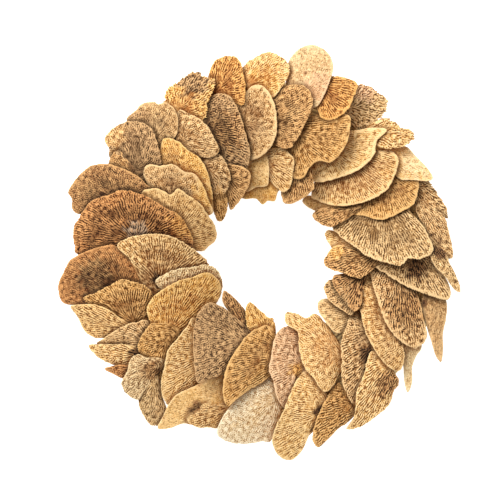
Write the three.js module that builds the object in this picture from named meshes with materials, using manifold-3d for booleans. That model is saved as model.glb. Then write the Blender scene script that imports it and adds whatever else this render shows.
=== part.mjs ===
import * as THREE from "three";
import { mergeVertices } from "three/addons/utils/BufferGeometryUtils.js";
import Module from "manifold-3d";

const wasm = await Module();
wasm.setup();

// A wreath of dried bracket fungus caps, laid like shingles round a straw ring, gill side out.
// Millimetres: X to the right, Y up the wreath, Z out of its face; the ring's centre is at 0, 0.

// Straw ring: a flat-backed hoop whose rounded face follows the bed that the caps lie on.
const ringRadius = 116;
const ringHalfWidth = 36;
const ringSideBulge = 2.5;
const ringFlatInset = 7;
const ringSideHeight = 13;
const ringTopPoints = 8;
const ringSides = 56;

// Bed: the height of the shingle layer over the radius, highest over the ring's own circle.
const crestHeight = 33;
const bedHalfWidth = 62;
const bedDrop = 26;
const bedFlattening = 0.25;

// Caps: how steeply they are shingled, how thick they are and how their gills stand up.
const shingleSlope = 0.43;
const restGap = 0.45;
const rootThickness = 4.2;
const rimThickness = 2.5;
const defaultDome = 2;
const gillHeight = 0.55;
const rimCurl = 1.1;
const rimWaves = 3;
const grownTogetherStep = 0.8;
const leastBack = 14;

// Mesh rings of a cap: share of the way from root to rim, and how far the gills stand there.
const topRings = [
  { share: 0.36, gill: 0.6 },
  { share: 0.84, gill: 1 },
];
const bottomRings = [0.84, 0.36];
const columnPitch = 8.2;
const fewestColumns = 16;
const mostColumns = 34;

// Laying the caps: the pitch and half the count of the plan grid that they are compared on, the
// least area and rise that matter, the passes allowed, and the distance that welds two vertices.
const cellSize = 0.5;
const halfGrid = 2048;
const gridRow = 2 * halfGrid;
const leastArea = 1e-6;
const leastRise = 1e-6;
const mostPasses = 200;
const weldDistance = 1e-4;
const ringWeldDistance = 1e-3;

// Colours of the straw and of the dried gill faces, by tone.
const strawColour = "#b89a5e";
const tones = {
  cream: "#dcc193",
  golden: "#cfa35c",
  ochre: "#bd8c44",
  tan: "#c39c69",
  brown: "#9a7249",
  taupe: "#a68a68",
};

// Each cap: its node, the root that its gills run out from, the points of its rim in order, read
// on a 10 mm grid, and its tone. back is how far it reaches behind its root, dome the swell of its
// gill face, and turn the degrees by which it is laid later than its place round the ring says.
// Rows with one node grew together, each a little above the one before it.
const caps = [
  { node: "cap_top_1", root: [0, 117], tone: "taupe",
    rim: [[8, 143], [20, 149], [34, 148], [41, 137], [39, 124], [33, 111], [27, 100], [16, 93]] },
  { node: "cap_top_2", root: [28, 138], tone: "cream",
    rim: [[18, 163], [26, 179], [40, 185], [53, 179], [59, 166], [55, 150], [50, 138], [43, 129]] },
  { node: "cap_top_3", root: [50, 146], tone: "ochre", turn: 5,
    rim: [[57, 157], [68, 156], [80, 150], [77, 138], [71, 126], [60, 118], [50, 118], [45, 125]] },
  { node: "cap_top_4", root: [74, 130], tone: "taupe",
    rim: [[80, 151], [91, 151], [100, 145], [108, 137], [107, 127], [100, 119], [92, 112], [81, 109]] },
  { node: "cap_top_4", root: [98, 107], tone: "golden",
    rim: [[103, 121], [112, 119], [119, 113], [128, 110], [132, 104], [124, 96], [114, 93], [102, 93]] },
  { node: "cap_top_5", root: [30, 106], tone: "tan",
    rim: [[50, 123], [62, 124], [73, 121], [73, 108], [68, 93], [57, 81], [46, 82], [38, 76], [33, 68],
      [24, 67], [20, 78]] },
  { node: "cap_top_6", root: [50, 97], tone: "golden",
    rim: [[80, 110], [93, 112], [106, 110], [97, 100], [95, 89], [87, 79], [76, 72], [62, 67], [48, 64],
      [38, 66], [32, 74]] },
  { node: "cap_right_1", root: [68, 88], tone: "golden",
    rim: [[98, 92], [109, 92], [116, 84], [113, 71], [107, 59], [97, 51], [84, 46], [70, 43], [56, 44],
      [46, 48], [40, 56]] },
  { node: "cap_right_2", root: [100, 72], tone: "ochre",
    rim: [[120, 72], [133, 67], [133, 56], [129, 45], [120, 39], [108, 33], [99, 31], [87, 34], [75, 41]] },
  { node: "cap_right_3", root: [110, 86], tone: "golden",
    rim: [[114, 96], [123, 96], [132, 87], [141, 77], [146, 68], [141, 65], [128, 66], [115, 68]] },
  { node: "cap_right_4", root: [134, 60], tone: "brown",
    rim: [[141, 68], [147, 63], [153, 52], [159, 42], [160, 32], [152, 33], [143, 40]] },
  { node: "cap_right_4", root: [136, 44], tone: "tan",
    rim: [[150, 40], [157, 34], [160, 22], [163, 8], [163, -2], [156, -2], [149, 6], [140, 22], [131, 38]] },
  { node: "cap_right_4", root: [148, 6], tone: "tan",
    rim: [[157, 2], [160, -6], [166, -18], [170, -31], [164, -30], [155, -18], [146, -9], [142, 2]] },
  { node: "cap_right_5", root: [100, 46], tone: "tan",
    rim: [[62, 36], [56, 28], [64, 17], [75, 9], [88, -1], [102, -6], [116, -9], [124, -3], [135, -3],
      [146, 4], [141, 19], [132, 32]] },
  { node: "cap_right_6", root: [128, 8], tone: "brown",
    rim: [[94, -5], [104, -16], [118, -25], [131, -31], [145, -36], [158, -39], [162, -34], [159, -22],
      [152, -12], [146, -3]] },
  { node: "cap_right_7", root: [148, -28], tone: "tan",
    rim: [[136, -40], [139, -57], [144, -74], [148, -87], [153, -93], [155, -82], [155, -68], [158, -54],
      [158, -38]] },
  { node: "cap_right_8", root: [117, -20], tone: "taupe",
    rim: [[92, -8], [92, -22], [96, -37], [102, -55], [110, -68], [120, -77], [130, -81], [137, -77],
      [141, -70], [138, -56], [134, -38]] },
  { node: "cap_right_9", root: [112, -62], tone: "golden",
    rim: [[96, -16], [88, -18], [84, -28], [82, -46], [86, -66], [94, -82], [103, -94], [111, -100],
      [118, -99], [121, -88], [120, -76]] },
  { node: "cap_right_10", root: [127, -72], tone: "tan",
    rim: [[118, -80], [120, -97], [121, -110], [124, -120], [128, -111], [128, -98], [132, -88],
      [137, -78]] },
  { node: "cap_inner_1", root: [28, 72], tone: "brown", back: 20,
    rim: [[14, 62], [14, 50], [17, 45], [25, 46], [33, 50], [40, 56], [42, 63]] },
  { node: "cap_inner_1", root: [-4, 70], tone: "golden", back: 22,
    rim: [[-21, 56], [-19, 50], [-9, 50], [-3, 45], [2, 48], [8, 48], [11, 56], [18, 66]] },
  { node: "cap_inner_2", root: [66, 50], tone: "tan", back: 20,
    rim: [[56, 56], [44, 53], [36, 53], [32, 48], [38, 42], [48, 38], [60, 36]] },
  { node: "cap_inner_2", root: [66, 38], tone: "ochre", back: 20,
    rim: [[52, 43], [41, 38], [41, 33], [47, 28], [56, 25], [64, 28]] },
  { node: "cap_inner_3", root: [84, 8], tone: "golden", back: 14,
    rim: [[66, 20], [56, 23], [51, 20], [54, 12], [59, 5], [66, 0]] },
  { node: "cap_inner_3", root: [88, 0], tone: "tan", back: 18,
    rim: [[72, 10], [60, 9], [54, 3], [50, -6], [56, -12], [66, -15], [76, -19], [86, -18]] },
  { node: "cap_inner_4", root: [74, -28], tone: "golden", back: 14,
    rim: [[60, -20], [53, -22], [50, -28], [53, -37], [60, -44], [68, -49], [76, -51]] },
  { node: "cap_inner_4", root: [80, -20], tone: "taupe", back: 14,
    rim: [[68, -15], [59, -17], [58, -25], [63, -34], [70, -43], [77, -49], [83, -44], [85, -32]] },
  { node: "cap_inner_5", root: [76, -52], tone: "cream", back: 14, turn: -10,
    rim: [[60, -40], [51, -37], [45, -41], [46, -49], [52, -58], [60, -67], [70, -66]] },
  { node: "cap_inner_6", root: [4, 80], tone: "golden",
    rim: [[8, 94], [17, 93], [25, 84], [24, 72], [22, 61], [16, 55], [10, 59], [5, 64]] },
  { node: "cap_inner_6", root: [-16, 76], tone: "golden",
    rim: [[-12, 88], [0, 90], [3, 80], [3, 68], [1, 61], [-8, 60], [-17, 56], [-20, 62]] },
  { node: "cap_inner_7", root: [-34, 68], tone: "taupe", back: 16,
    rim: [[-30, 80], [-20, 78], [-13, 72], [-14, 63], [-19, 53], [-25, 45], [-31, 40], [-34, 48]] },
  { node: "cap_inner_8", root: [-42, 62], tone: "brown", back: 26,
    rim: [[-50, 56], [-47, 42], [-43, 31], [-38, 30], [-34, 38], [-33, 48], [-35, 56]] },
  { node: "cap_inner_8", root: [-48, 74], tone: "golden",
    rim: [[-46, 90], [-39, 88], [-34, 81], [-30, 69], [-33, 58], [-38, 52], [-45, 54]] },
  { node: "cap_top_7", root: [-48, 108], tone: "taupe",
    rim: [[-50, 136], [-43, 142], [-32, 140], [-25, 131], [-20, 118], [-16, 103], [-13, 90], [-16, 76],
      [-23, 69], [-31, 68], [-36, 78]] },
  { node: "cap_top_8", root: [-20, 115], tone: "tan", dome: -1.5,
    rim: [[-18, 142], [-10, 149], [-2, 148], [5, 139], [9, 127], [10, 113], [8, 101], [1, 90], [-9, 84],
      [-16, 86]] },
  { node: "cap_top_9", root: [-14, 150], tone: "golden",
    rim: [[-20, 166], [-10, 174], [3, 179], [14, 174], [21, 166], [20, 156], [14, 146], [7, 137], [0, 138]] },
  { node: "cap_top_10", root: [-40, 146], tone: "ochre",
    rim: [[-50, 160], [-44, 172], [-32, 176], [-23, 172], [-19, 160], [-17, 146], [-19, 131], [-27, 132]] },
  { node: "cap_top_11", root: [-74, 130], tone: "golden",
    rim: [[-90, 136], [-88, 147], [-77, 154], [-66, 162], [-58, 162], [-52, 158], [-44, 155], [-44, 145],
      [-49, 134], [-50, 122], [-56, 116]] },
  { node: "cap_top_12", root: [-72, 100], tone: "tan",
    rim: [[-77, 126], [-68, 125], [-58, 120], [-50, 113], [-45, 104], [-40, 92], [-46, 86], [-58, 86]] },
  { node: "cap_top_13", root: [-98, 102], tone: "taupe",
    rim: [[-122, 117], [-115, 127], [-107, 134], [-98, 135], [-94, 133], [-87, 134], [-79, 128],
      [-76, 118], [-77, 106], [-84, 98]] },
  { node: "cap_top_14", root: [-78, 68], tone: "golden",
    rim: [[-93, 80], [-92, 95], [-88, 103], [-76, 100], [-67, 92], [-58, 86], [-52, 77], [-48, 64],
      [-46, 48], [-50, 38]] },
  { node: "cap_left_1", root: [-114, 76], tone: "tan",
    rim: [[-136, 84], [-138, 94], [-142, 103], [-135, 112], [-122, 118], [-108, 117], [-99, 111],
      [-94, 99], [-91, 86], [-92, 74]] },
  { node: "cap_left_1", root: [-118, 72], tone: "tan",
    rim: [[-136, 78], [-138, 84], [-130, 94], [-124, 89], [-118, 81], [-113, 76]] },
  { node: "cap_left_2", root: [-82, 50], tone: "tan",
    rim: [[-102, 60], [-107, 72], [-103, 80], [-92, 79], [-80, 80], [-71, 74], [-62, 72], [-55, 63],
      [-50, 50], [-48, 36]] },
  { node: "cap_left_3", root: [-80, 24], tone: "cream",
    rim: [[-108, 52], [-100, 59], [-91, 58], [-83, 54], [-76, 59], [-67, 53], [-57, 46], [-50, 36],
      [-44, 26], [-43, 15], [-50, 8], [-58, 4]] },
  { node: "cap_left_4", root: [-128, 44], tone: "brown",
    rim: [[-160, 36], [-170, 40], [-171, 50], [-174, 57], [-166, 69], [-154, 79], [-139, 81], [-126, 77],
      [-113, 71], [-104, 63], [-100, 56]] },
  { node: "cap_left_5", root: [-113, 12], tone: "brown",
    rim: [[-162, 0], [-169, 11], [-169, 25], [-162, 37], [-152, 49], [-137, 54], [-126, 58], [-110, 55],
      [-97, 49], [-86, 42], [-76, 37], [-68, 26], [-63, 12], [-68, 2]] },
  { node: "cap_left_6", root: [-128, -30], tone: "brown",
    rim: [[-104, -22], [-113, -9], [-122, 2], [-133, 10], [-146, 8], [-158, 4], [-171, -3], [-178, -14],
      [-183, -27], [-179, -41], [-163, -43]] },
  { node: "cap_left_7", root: [-93, -24], tone: "tan",
    rim: [[-118, -4], [-130, 9], [-121, 16], [-108, 19], [-92, 20], [-78, 16], [-66, 9], [-56, 1],
      [-49, -8], [-54, -18]] },
  { node: "cap_left_8", root: [-66, -32], tone: "taupe",
    rim: [[-96, -24], [-90, -16], [-78, -11], [-64, -9], [-52, -7], [-43, -11], [-38, -20], [-38, -30],
      [-44, -40]] },
  { node: "cap_left_9", root: [-84, -66], tone: "ochre",
    rim: [[-101, -58], [-104, -46], [-98, -35], [-89, -28], [-76, -21], [-64, -18], [-53, -14],
      [-45, -17], [-39, -26], [-41, -38], [-50, -50], [-60, -58]] },
  { node: "cap_left_10", root: [-116, -58], tone: "tan",
    rim: [[-158, -40], [-150, -32], [-138, -26], [-126, -20], [-114, -22], [-104, -26], [-98, -33],
      [-96, -46]] },
  { node: "cap_left_11", root: [-124, -63], tone: "golden",
    rim: [[-127, -54], [-138, -46], [-150, -42], [-161, -42], [-171, -44], [-165, -54], [-160, -65],
      [-152, -71], [-143, -72]] },
  { node: "cap_left_12", root: [-110, -72], tone: "tan",
    rim: [[-103, -56], [-112, -57], [-121, -59], [-132, -65], [-141, -71], [-149, -77], [-138, -78],
      [-126, -80], [-116, -83]] },
  { node: "cap_left_13", root: [-116, -86], tone: "golden", back: 16,
    rim: [[-120, -77], [-132, -77], [-145, -77], [-156, -78], [-150, -87], [-141, -93], [-131, -97],
      [-121, -97]] },
  { node: "cap_left_13", root: [-118, -99], tone: "tan", back: 16,
    rim: [[-124, -95], [-134, -96], [-142, -99], [-134, -104], [-125, -108], [-118, -107]] },
  { node: "cap_bottom_1", root: [-98, -112], tone: "taupe",
    rim: [[-108, -112], [-112, -122], [-112, -132], [-107, -143], [-100, -150], [-91, -149], [-86, -139],
      [-90, -124]] },
  { node: "cap_bottom_1", root: [-100, -98], tone: "taupe",
    rim: [[-104, -88], [-112, -85], [-119, -90], [-122, -101], [-127, -111], [-123, -121], [-113, -127],
      [-106, -118]] },
  { node: "cap_bottom_2", root: [-86, -74], tone: "ochre",
    rim: [[-98, -58], [-106, -65], [-111, -74], [-112, -83], [-105, -92], [-99, -102], [-93, -109],
      [-88, -103]] },
  { node: "cap_bottom_3", root: [-58, -90], tone: "golden",
    rim: [[-61, -54], [-70, -62], [-78, -72], [-86, -82], [-89, -96], [-92, -110], [-91, -123],
      [-85, -131], [-77, -122], [-63, -114]] },
  { node: "cap_bottom_4", root: [-42, -124], tone: "cream",
    rim: [[-36, -104], [-50, -107], [-64, -114], [-77, -120], [-85, -129], [-90, -140], [-95, -151],
      [-84, -151], [-73, -147], [-58, -146]] },
  { node: "cap_bottom_4", root: [-38, -136], tone: "brown",
    rim: [[-52, -128], [-64, -134], [-70, -143], [-62, -150], [-50, -151], [-40, -151]] },
  { node: "cap_bottom_5", root: [-24, -74], tone: "taupe",
    rim: [[-30, -50], [-40, -43], [-50, -40], [-58, -47], [-63, -60], [-64, -76], [-63, -92], [-60, -110],
      [-50, -107], [-38, -102]] },
  { node: "cap_bottom_6", root: [-20, -60], tone: "tan", back: 20,
    rim: [[-17, -50], [-22, -42], [-30, -34], [-37, -30], [-38, -40], [-30, -52]] },
  { node: "cap_bottom_6", root: [-2, -66], tone: "ochre", back: 20,
    rim: [[8, -57], [2, -53], [-6, -46], [-14, -40], [-18, -45], [-18, -56], [-15, -68]] },
  { node: "cap_bottom_7", root: [4, -92], tone: "ochre",
    rim: [[4, -62], [-8, -63], [-18, -70], [-26, -81], [-33, -92], [-37, -106], [-38, -120], [-34, -131],
      [-26, -125], [-15, -117], [0, -108]] },
  { node: "cap_bottom_8", root: [4, -128], tone: "cream",
    rim: [[4, -106], [-8, -108], [-19, -117], [-30, -129], [-39, -142], [-43, -155], [-33, -163],
      [-18, -165], [-4, -163], [6, -160]] },
  { node: "cap_bottom_9", root: [30, -92], tone: "tan",
    rim: [[26, -64], [19, -61], [11, -65], [6, -75], [4, -88], [2, -100], [6, -110], [9, -123],
      [16, -133], [21, -124], [27, -108]] },
  { node: "cap_bottom_10", root: [58, -84], tone: "golden",
    rim: [[50, -56], [42, -50], [35, -54], [27, -50], [17, -49], [17, -59], [27, -66], [28, -80],
      [32, -96], [41, -107], [50, -119], [58, -115], [64, -104]] },
  { node: "cap_bottom_11", root: [45, -138], tone: "golden", turn: 3,
    rim: [[44, -108], [36, -99], [27, -107], [20, -121], [14, -136], [8, -149], [5, -163], [12, -176],
      [22, -179], [32, -170], [38, -157]] },
  { node: "cap_bottom_12", root: [72, -134], tone: "brown",
    rim: [[68, -114], [62, -110], [54, -121], [47, -134], [42, -147], [40, -160], [45, -168], [54, -161],
      [63, -152], [72, -146]] },
  { node: "cap_bottom_13", root: [90, -82], tone: "tan",
    rim: [[76, -53], [70, -60], [65, -74], [65, -90], [65, -106], [69, -119], [76, -129], [80, -118],
      [84, -104]] },
  { node: "cap_bottom_14", root: [104, -103], tone: "golden", turn: 8,
    rim: [[94, -82], [88, -88], [84, -104], [78, -118], [77, -133], [75, -143], [69, -151], [82, -149],
      [95, -141], [107, -131], [112, -119], [117, -110], [112, -99]] },
];

// An angle brought between minus half a turn and half a turn.
function wrapped(angle) {
  return angle - 2 * Math.PI * Math.round(angle / (2 * Math.PI));
}

// The same draw between 0 and 1 each time for one cap and one use.
function draw(cap, use) {
  const value = Math.sin(cap * 12.9898 + use * 78.233) * 43758.5453;
  return value - Math.floor(value);
}

// Height of the bed: crest minus a drop that grows with the square of the distance and levels out.
function bedHeight(radius) {
  const u = (radius - ringRadius) / bedHalfWidth;
  return crestHeight - (bedDrop * u * u) / (1 + bedFlattening * u * u);
}

// Height of the middle of a cap at share v of the way to its rim, at turn t of its outline: bed,
// shingle ramp rising clockwise, dome, and a rim that curls in waves.
function capHeight(cap, x, y, v, t) {
  const radius = Math.hypot(x, y);
  const ahead = wrapped(cap.turned - Math.atan2(y, x));
  const ramp = (shingleSlope * ahead * (radius + ringRadius)) / 2;
  const dome = cap.dome * (1 - v * v);
  const curl = rimCurl * v ** 3 * Math.sin(2 * Math.PI * (rimWaves * t + draw(cap.number, 1)));
  return bedHeight(radius) + ramp + dome + curl;
}

// Half the thickness at share v: full at the root and thin at the rim.
function halfThickness(v) {
  return (rootThickness + (rimThickness - rootThickness) * v ** 1.5) / 2;
}

// A row of the table with its defaults, its outline as a closed curve through its rim and a point
// behind its root, and its place in the laying order.
function settled(row, number) {
  const [x, y] = row.root;
  const cap = { dome: defaultDome, back: leastBack, ...row, number };
  const middle = row.rim.reduce(([a, b], [p, q]) => [a + p - x, b + q - y], [0, 0]);
  const behind = -cap.back / Math.hypot(...middle);
  const points = [...row.rim, [x + behind * middle[0], y + behind * middle[1]]];
  const corners = points.map(([p, q]) => new THREE.Vector3(p, q, 0));
  cap.outline = new THREE.CatmullRomCurve3(corners, true, "catmullrom", 0.5);
  cap.turned = Math.atan2(y, x) + THREE.MathUtils.degToRad(row.turn ?? 0);
  return cap;
}

// One cap as a closed shell: a root point, rings out to the rim over the gill face, and rings back
// under it. Every other column of the gill face stands up as a gill.
function capGeometry(cap, origin, raise) {
  const wanted = 2 * Math.round(cap.outline.getLength() / columnPitch / 2);
  const columns = Math.min(mostColumns, Math.max(fewestColumns, wanted));
  const edge = cap.outline.getSpacedPoints(columns).slice(0, columns);
  if (THREE.ShapeUtils.isClockWise(edge)) edge.reverse();
  const rings = [
    ...topRings.map((ring) => ({ v: ring.share, side: 1, gill: ring.gill })),
    { v: 1, side: 0, gill: 0 },
    ...bottomRings.map((share) => ({ v: share, side: -1, gill: 0 })),
  ];
  const points = [];
  const place = (v, c, side, gill) => {
    const x = cap.root[0] + v * (edge[c].x - cap.root[0]);
    const y = cap.root[1] + v * (edge[c].y - cap.root[1]);
    const z = capHeight(cap, x, y, v, c / columns) + side * halfThickness(v) + gill + raise;
    points.push(x - origin[0], y - origin[1], z);
  };
  place(0, 0, 1, 0);
  for (const ring of rings) {
    for (let c = 0; c < columns; c++) {
      place(ring.v, c, ring.side, (c % 2 ? 1 : -1) * gillHeight * ring.gill);
    }
  }
  place(0, 0, -1, 0);
  const faces = [];
  const last = points.length / 3 - 1;
  const at = (ring, c) => 1 + ring * columns + (c % columns);
  for (let c = 0; c < columns; c++) {
    faces.push(0, at(0, c), at(0, c + 1));
    for (let ring = 0; ring + 1 < rings.length; ring++) {
      faces.push(at(ring, c), at(ring + 1, c), at(ring + 1, c + 1));
      faces.push(at(ring, c), at(ring + 1, c + 1), at(ring, c + 1));
    }
    faces.push(last, at(rings.length - 1, c + 1), at(rings.length - 1, c));
  }
  const geometry = new THREE.BufferGeometry();
  geometry.setAttribute("position", new THREE.Float32BufferAttribute(points, 3));
  geometry.setIndex(faces);
  return geometry;
}

// Caps that grew together, joined into one solid.
function joined(geometries) {
  const solids = geometries.map((geometry) => {
    const merged = mergeVertices(geometry, weldDistance);
    return new wasm.Manifold(
      new wasm.Mesh({
        numProp: 3,
        vertProperties: merged.attributes.position.array,
        triVerts: new Uint32Array(merged.index.array),
      }),
    );
  });
  const mesh = solids.reduce((all, solid) => all.add(solid)).getMesh();
  const geometry = new THREE.BufferGeometry();
  geometry.setAttribute("position", new THREE.Float32BufferAttribute(mesh.vertProperties, 3));
  geometry.setIndex([...mesh.triVerts]);
  return geometry;
}

// Lowest and highest point of a geometry over each cell of a plan grid that it covers, and over
// the cells just past its edge.
function plan(geometry, origin) {
  const cells = new Map();
  const mark = (i, j, z) => {
    const key = (i + halfGrid) * gridRow + j + halfGrid;
    const span = cells.get(key);
    if (span) {
      span[0] = Math.min(span[0], z);
      span[1] = Math.max(span[1], z);
    } else cells.set(key, [z, z]);
  };
  const position = geometry.getAttribute("position");
  const corner = [0, 1, 2].map(() => new THREE.Vector3());
  const index = geometry.getIndex();
  for (let f = 0; f < index.count; f += 3) {
    corner.forEach((v, k) => {
      v.fromBufferAttribute(position, index.getX(f + k));
      v.x += origin[0];
      v.y += origin[1];
    });
    const [a, b, c] = corner;
    const twice = (b.x - a.x) * (c.y - a.y) - (c.x - a.x) * (b.y - a.y);
    if (Math.abs(twice) < leastArea) continue;
    const low = corner.reduce((m, v) => m.clone().min(v), a);
    const high = corner.reduce((m, v) => m.clone().max(v), a);
    for (let i = Math.ceil(low.x / cellSize); i * cellSize <= high.x; i++) {
      for (let j = Math.ceil(low.y / cellSize); j * cellSize <= high.y; j++) {
        const px = i * cellSize - a.x;
        const py = j * cellSize - a.y;
        const s = (px * (c.y - a.y) - (c.x - a.x) * py) / twice;
        const t = ((b.x - a.x) * py - px * (b.y - a.y)) / twice;
        if (s < 0 || t < 0 || s + t > 1) continue;
        mark(i, j, a.z + s * (b.z - a.z) + t * (c.z - a.z));
      }
    }
  }
  const spread = new Map(cells);
  for (const [key, span] of cells) {
    for (const step of [1, -1, gridRow, -gridRow]) {
      if (!cells.has(key + step)) spread.set(key + step, span);
    }
  }
  return spread;
}

// How far one piece has to rise for its underside to clear another's top by the rest gap.
function riseOver(upper, lower) {
  let rise = -Infinity;
  for (const [key, span] of upper) {
    const under = lower.get(key);
    if (under) rise = Math.max(rise, under[1] - span[0] + restGap);
  }
  return rise;
}

// The straw ring, whose section closes on itself: flat back, bulging sides and the bed's curve.
function ringGeometry() {
  const inner = ringRadius - ringHalfWidth;
  const outer = ringRadius + ringHalfWidth;
  const section = [
    [inner + ringFlatInset, 0],
    [outer - ringFlatInset, 0],
    [outer + ringSideBulge, ringSideHeight],
  ];
  for (let i = 0; i <= ringTopPoints; i++) {
    const radius = outer - (2 * ringHalfWidth * i) / ringTopPoints;
    section.push([radius, bedHeight(radius)]);
  }
  section.push([inner - ringSideBulge, ringSideHeight], section[0]);
  const points = section.map(([radius, z]) => new THREE.Vector2(radius, z));
  return new THREE.LatheGeometry(points, ringSides).rotateX(Math.PI / 2);
}

const geometryOf = new Map();
const rowsOf = new Map();
caps.map(settled).forEach((cap) => {
  if (!rowsOf.has(cap.node)) rowsOf.set(cap.node, []);
  rowsOf.get(cap.node).push(cap);
});
for (const [node, rows] of rowsOf) {
  const origin = rows[0].root;
  const shells = rows.map((cap, i) => {
    cap.turned = rows[0].turned;
    return capGeometry(cap, origin, i * grownTogetherStep);
  });
  geometryOf.set(node, shells.length > 1 ? joined(shells) : shells[0]);
}

const ring = ringGeometry();
const bareRing = new THREE.BufferGeometry().copy(ring).deleteAttribute("normal");
const ringPlan = plan(mergeVertices(bareRing, ringWeldDistance), [0, 0]);
const nodes = [...rowsOf.keys()];
const plans = new Map(nodes.map((node) => [node, plan(geometryOf.get(node), rowsOf.get(node)[0].root)]));

// Each cap is let down until it rests on the ring or on a cap laid before it. A cap that starts
// further round, counter-clockwise, is laid later and lies on top.
const rises = [];
for (const upper of nodes) {
  for (const lower of nodes) {
    const later = wrapped(rowsOf.get(upper)[0].turned - rowsOf.get(lower)[0].turned);
    if (upper === lower || later <= 0) continue;
    const rise = riseOver(plans.get(upper), plans.get(lower));
    if (rise > -Infinity) rises.push([upper, lower, rise]);
  }
}
const rest = new Map(nodes.map((node) => [node, riseOver(plans.get(node), ringPlan)]));
for (let pass = 0, moved = true; moved; pass++) {
  if (pass === mostPasses) throw new Error("the shingles climb on each other without end");
  moved = false;
  for (const [upper, lower, rise] of rises) {
    const needed = rest.get(lower) + rise;
    if (rest.get(upper) < needed - leastRise) {
      rest.set(upper, needed);
      moved = true;
    }
  }
}

const group = new THREE.Group();
group.name = "tree_fungus_wreath";
const ringMesh = new THREE.Mesh(
  ring,
  new THREE.MeshStandardMaterial({ color: strawColour, roughness: 0.95, metalness: 0 }),
);
ringMesh.name = "straw_ring";
group.add(ringMesh);
for (const node of nodes) {
  const [first] = rowsOf.get(node);
  const mesh = new THREE.Mesh(
    geometryOf.get(node),
    new THREE.MeshStandardMaterial({ color: tones[first.tone], roughness: 0.92, metalness: 0 }),
  );
  mesh.name = node;
  mesh.position.set(first.root[0], first.root[1], rest.get(node));
  group.add(mesh);
}

// The part's origin: the middle of its outline, on the surface that its back lies on.
const box = new THREE.Box3().setFromObject(group);
const middle = box.getCenter(new THREE.Vector3());
group.position.set(-middle.x, -middle.y, -box.min.z);

export default group;
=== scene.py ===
import math

import bpy
import numpy as np
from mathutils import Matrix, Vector


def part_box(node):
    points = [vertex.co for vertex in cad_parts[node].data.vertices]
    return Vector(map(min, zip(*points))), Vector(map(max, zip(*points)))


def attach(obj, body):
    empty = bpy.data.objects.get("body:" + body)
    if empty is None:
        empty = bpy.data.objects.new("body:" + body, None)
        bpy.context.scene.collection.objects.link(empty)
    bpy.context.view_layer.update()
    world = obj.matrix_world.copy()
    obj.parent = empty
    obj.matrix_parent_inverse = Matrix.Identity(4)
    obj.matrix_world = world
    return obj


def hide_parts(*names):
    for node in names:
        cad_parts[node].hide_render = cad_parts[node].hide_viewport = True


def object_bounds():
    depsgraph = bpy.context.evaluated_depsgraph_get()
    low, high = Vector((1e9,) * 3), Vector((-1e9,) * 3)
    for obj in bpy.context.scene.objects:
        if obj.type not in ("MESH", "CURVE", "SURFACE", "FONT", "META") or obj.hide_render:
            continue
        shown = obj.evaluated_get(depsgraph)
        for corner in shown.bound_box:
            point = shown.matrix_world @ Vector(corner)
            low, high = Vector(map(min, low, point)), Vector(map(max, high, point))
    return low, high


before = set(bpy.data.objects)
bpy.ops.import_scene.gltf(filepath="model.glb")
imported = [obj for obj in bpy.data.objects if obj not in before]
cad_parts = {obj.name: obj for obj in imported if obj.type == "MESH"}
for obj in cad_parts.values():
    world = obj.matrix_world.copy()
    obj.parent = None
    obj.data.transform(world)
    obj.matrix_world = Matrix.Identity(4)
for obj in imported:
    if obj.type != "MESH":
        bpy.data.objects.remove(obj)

cadBox = [list(corner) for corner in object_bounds()]

# Wreath of dried bracket fungus caps, gill side out, on a bound straw hoop. Shapes are worked out in
# millimetres about the hoop's centre, then placed in the frame in metres.
mm = 0.001
halfMetre = 500.0  # in mm, so the middle of a box comes out in mm
ringLow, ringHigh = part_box("straw_ring")
ringCentre = (ringLow + ringHigh) * halfMetre

# The bed under the caps, in mm: a crest along a circle that falls away and levels out on both sides.
bed = {"ringRadius": 116.0, "crest": 33.0, "halfWidth": 62.0, "drop": 26.0, "flattening": 0.25}
# How the solid caps were made, in mm. slope lifts each over the one before, and curlWaves is how often
# the rim rises on its way round.
shingle = {
    "slope": 0.43, "rootThickness": 4.2, "rimThickness": 2.5, "curl": 1.1, "curlWaves": 3,
    "grownTogetherStep": 0.8, "gillHeight": 0.55,
}
# Rings of the solid caps, each with its share of the way out and of the gills' height, and their
# columns. They say how high each cap was laid.
solidCap = {"rings": ((0.36, 0.6), (0.84, 1.0)), "columnPitch": 8.2, "fewest": 16, "most": 34}

# Gill faces, in mm: pitch is the spacing of the gills, reach how long one is before it breaks or
# forks, wind how far it wanders, broken how much it is cut into pores, depth how deep the grooves
# are, shade how dark they look, frill how ragged the rim is, margin how wide the bare rim is, and
# swell how uneven the face is.
styleKeys = ("pitch", "reach", "wind", "broken", "depth", "shade", "frill", "margin", "swell")
styleRows = {
    "gills": (1.6, 4.8, 0.2, 0.5, 1.1, 1.1, 0.35, 1.9, 0.6),
    "fine": (1.45, 4.6, 0.18, 0.48, 0.75, 1.0, 0.3, 2.1, 0.5),
    "coarse": (1.8, 4.4, 0.25, 0.58, 1.5, 1.25, 0.5, 1.6, 0.7),
    "maze": (1.55, 2.2, 0.3, 0.85, 1.05, 1.15, 0.5, 1.3, 0.7),
    "pores": (1.5, 1.0, 0.2, 1.1, 0.75, 1.0, 0.3, 1.6, 0.5),
    "smooth": (1.5, 2.4, 0.2, 0.8, 0.35, 0.45, 0.2, 2.0, 0.5),
    "frilly": (1.9, 2.4, 0.4, 0.8, 1.5, 1.2, 1.2, 1.1, 1.0),
}
gillStyles = {name: dict(zip(styleKeys, row)) for name, row in styleRows.items()}

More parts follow.
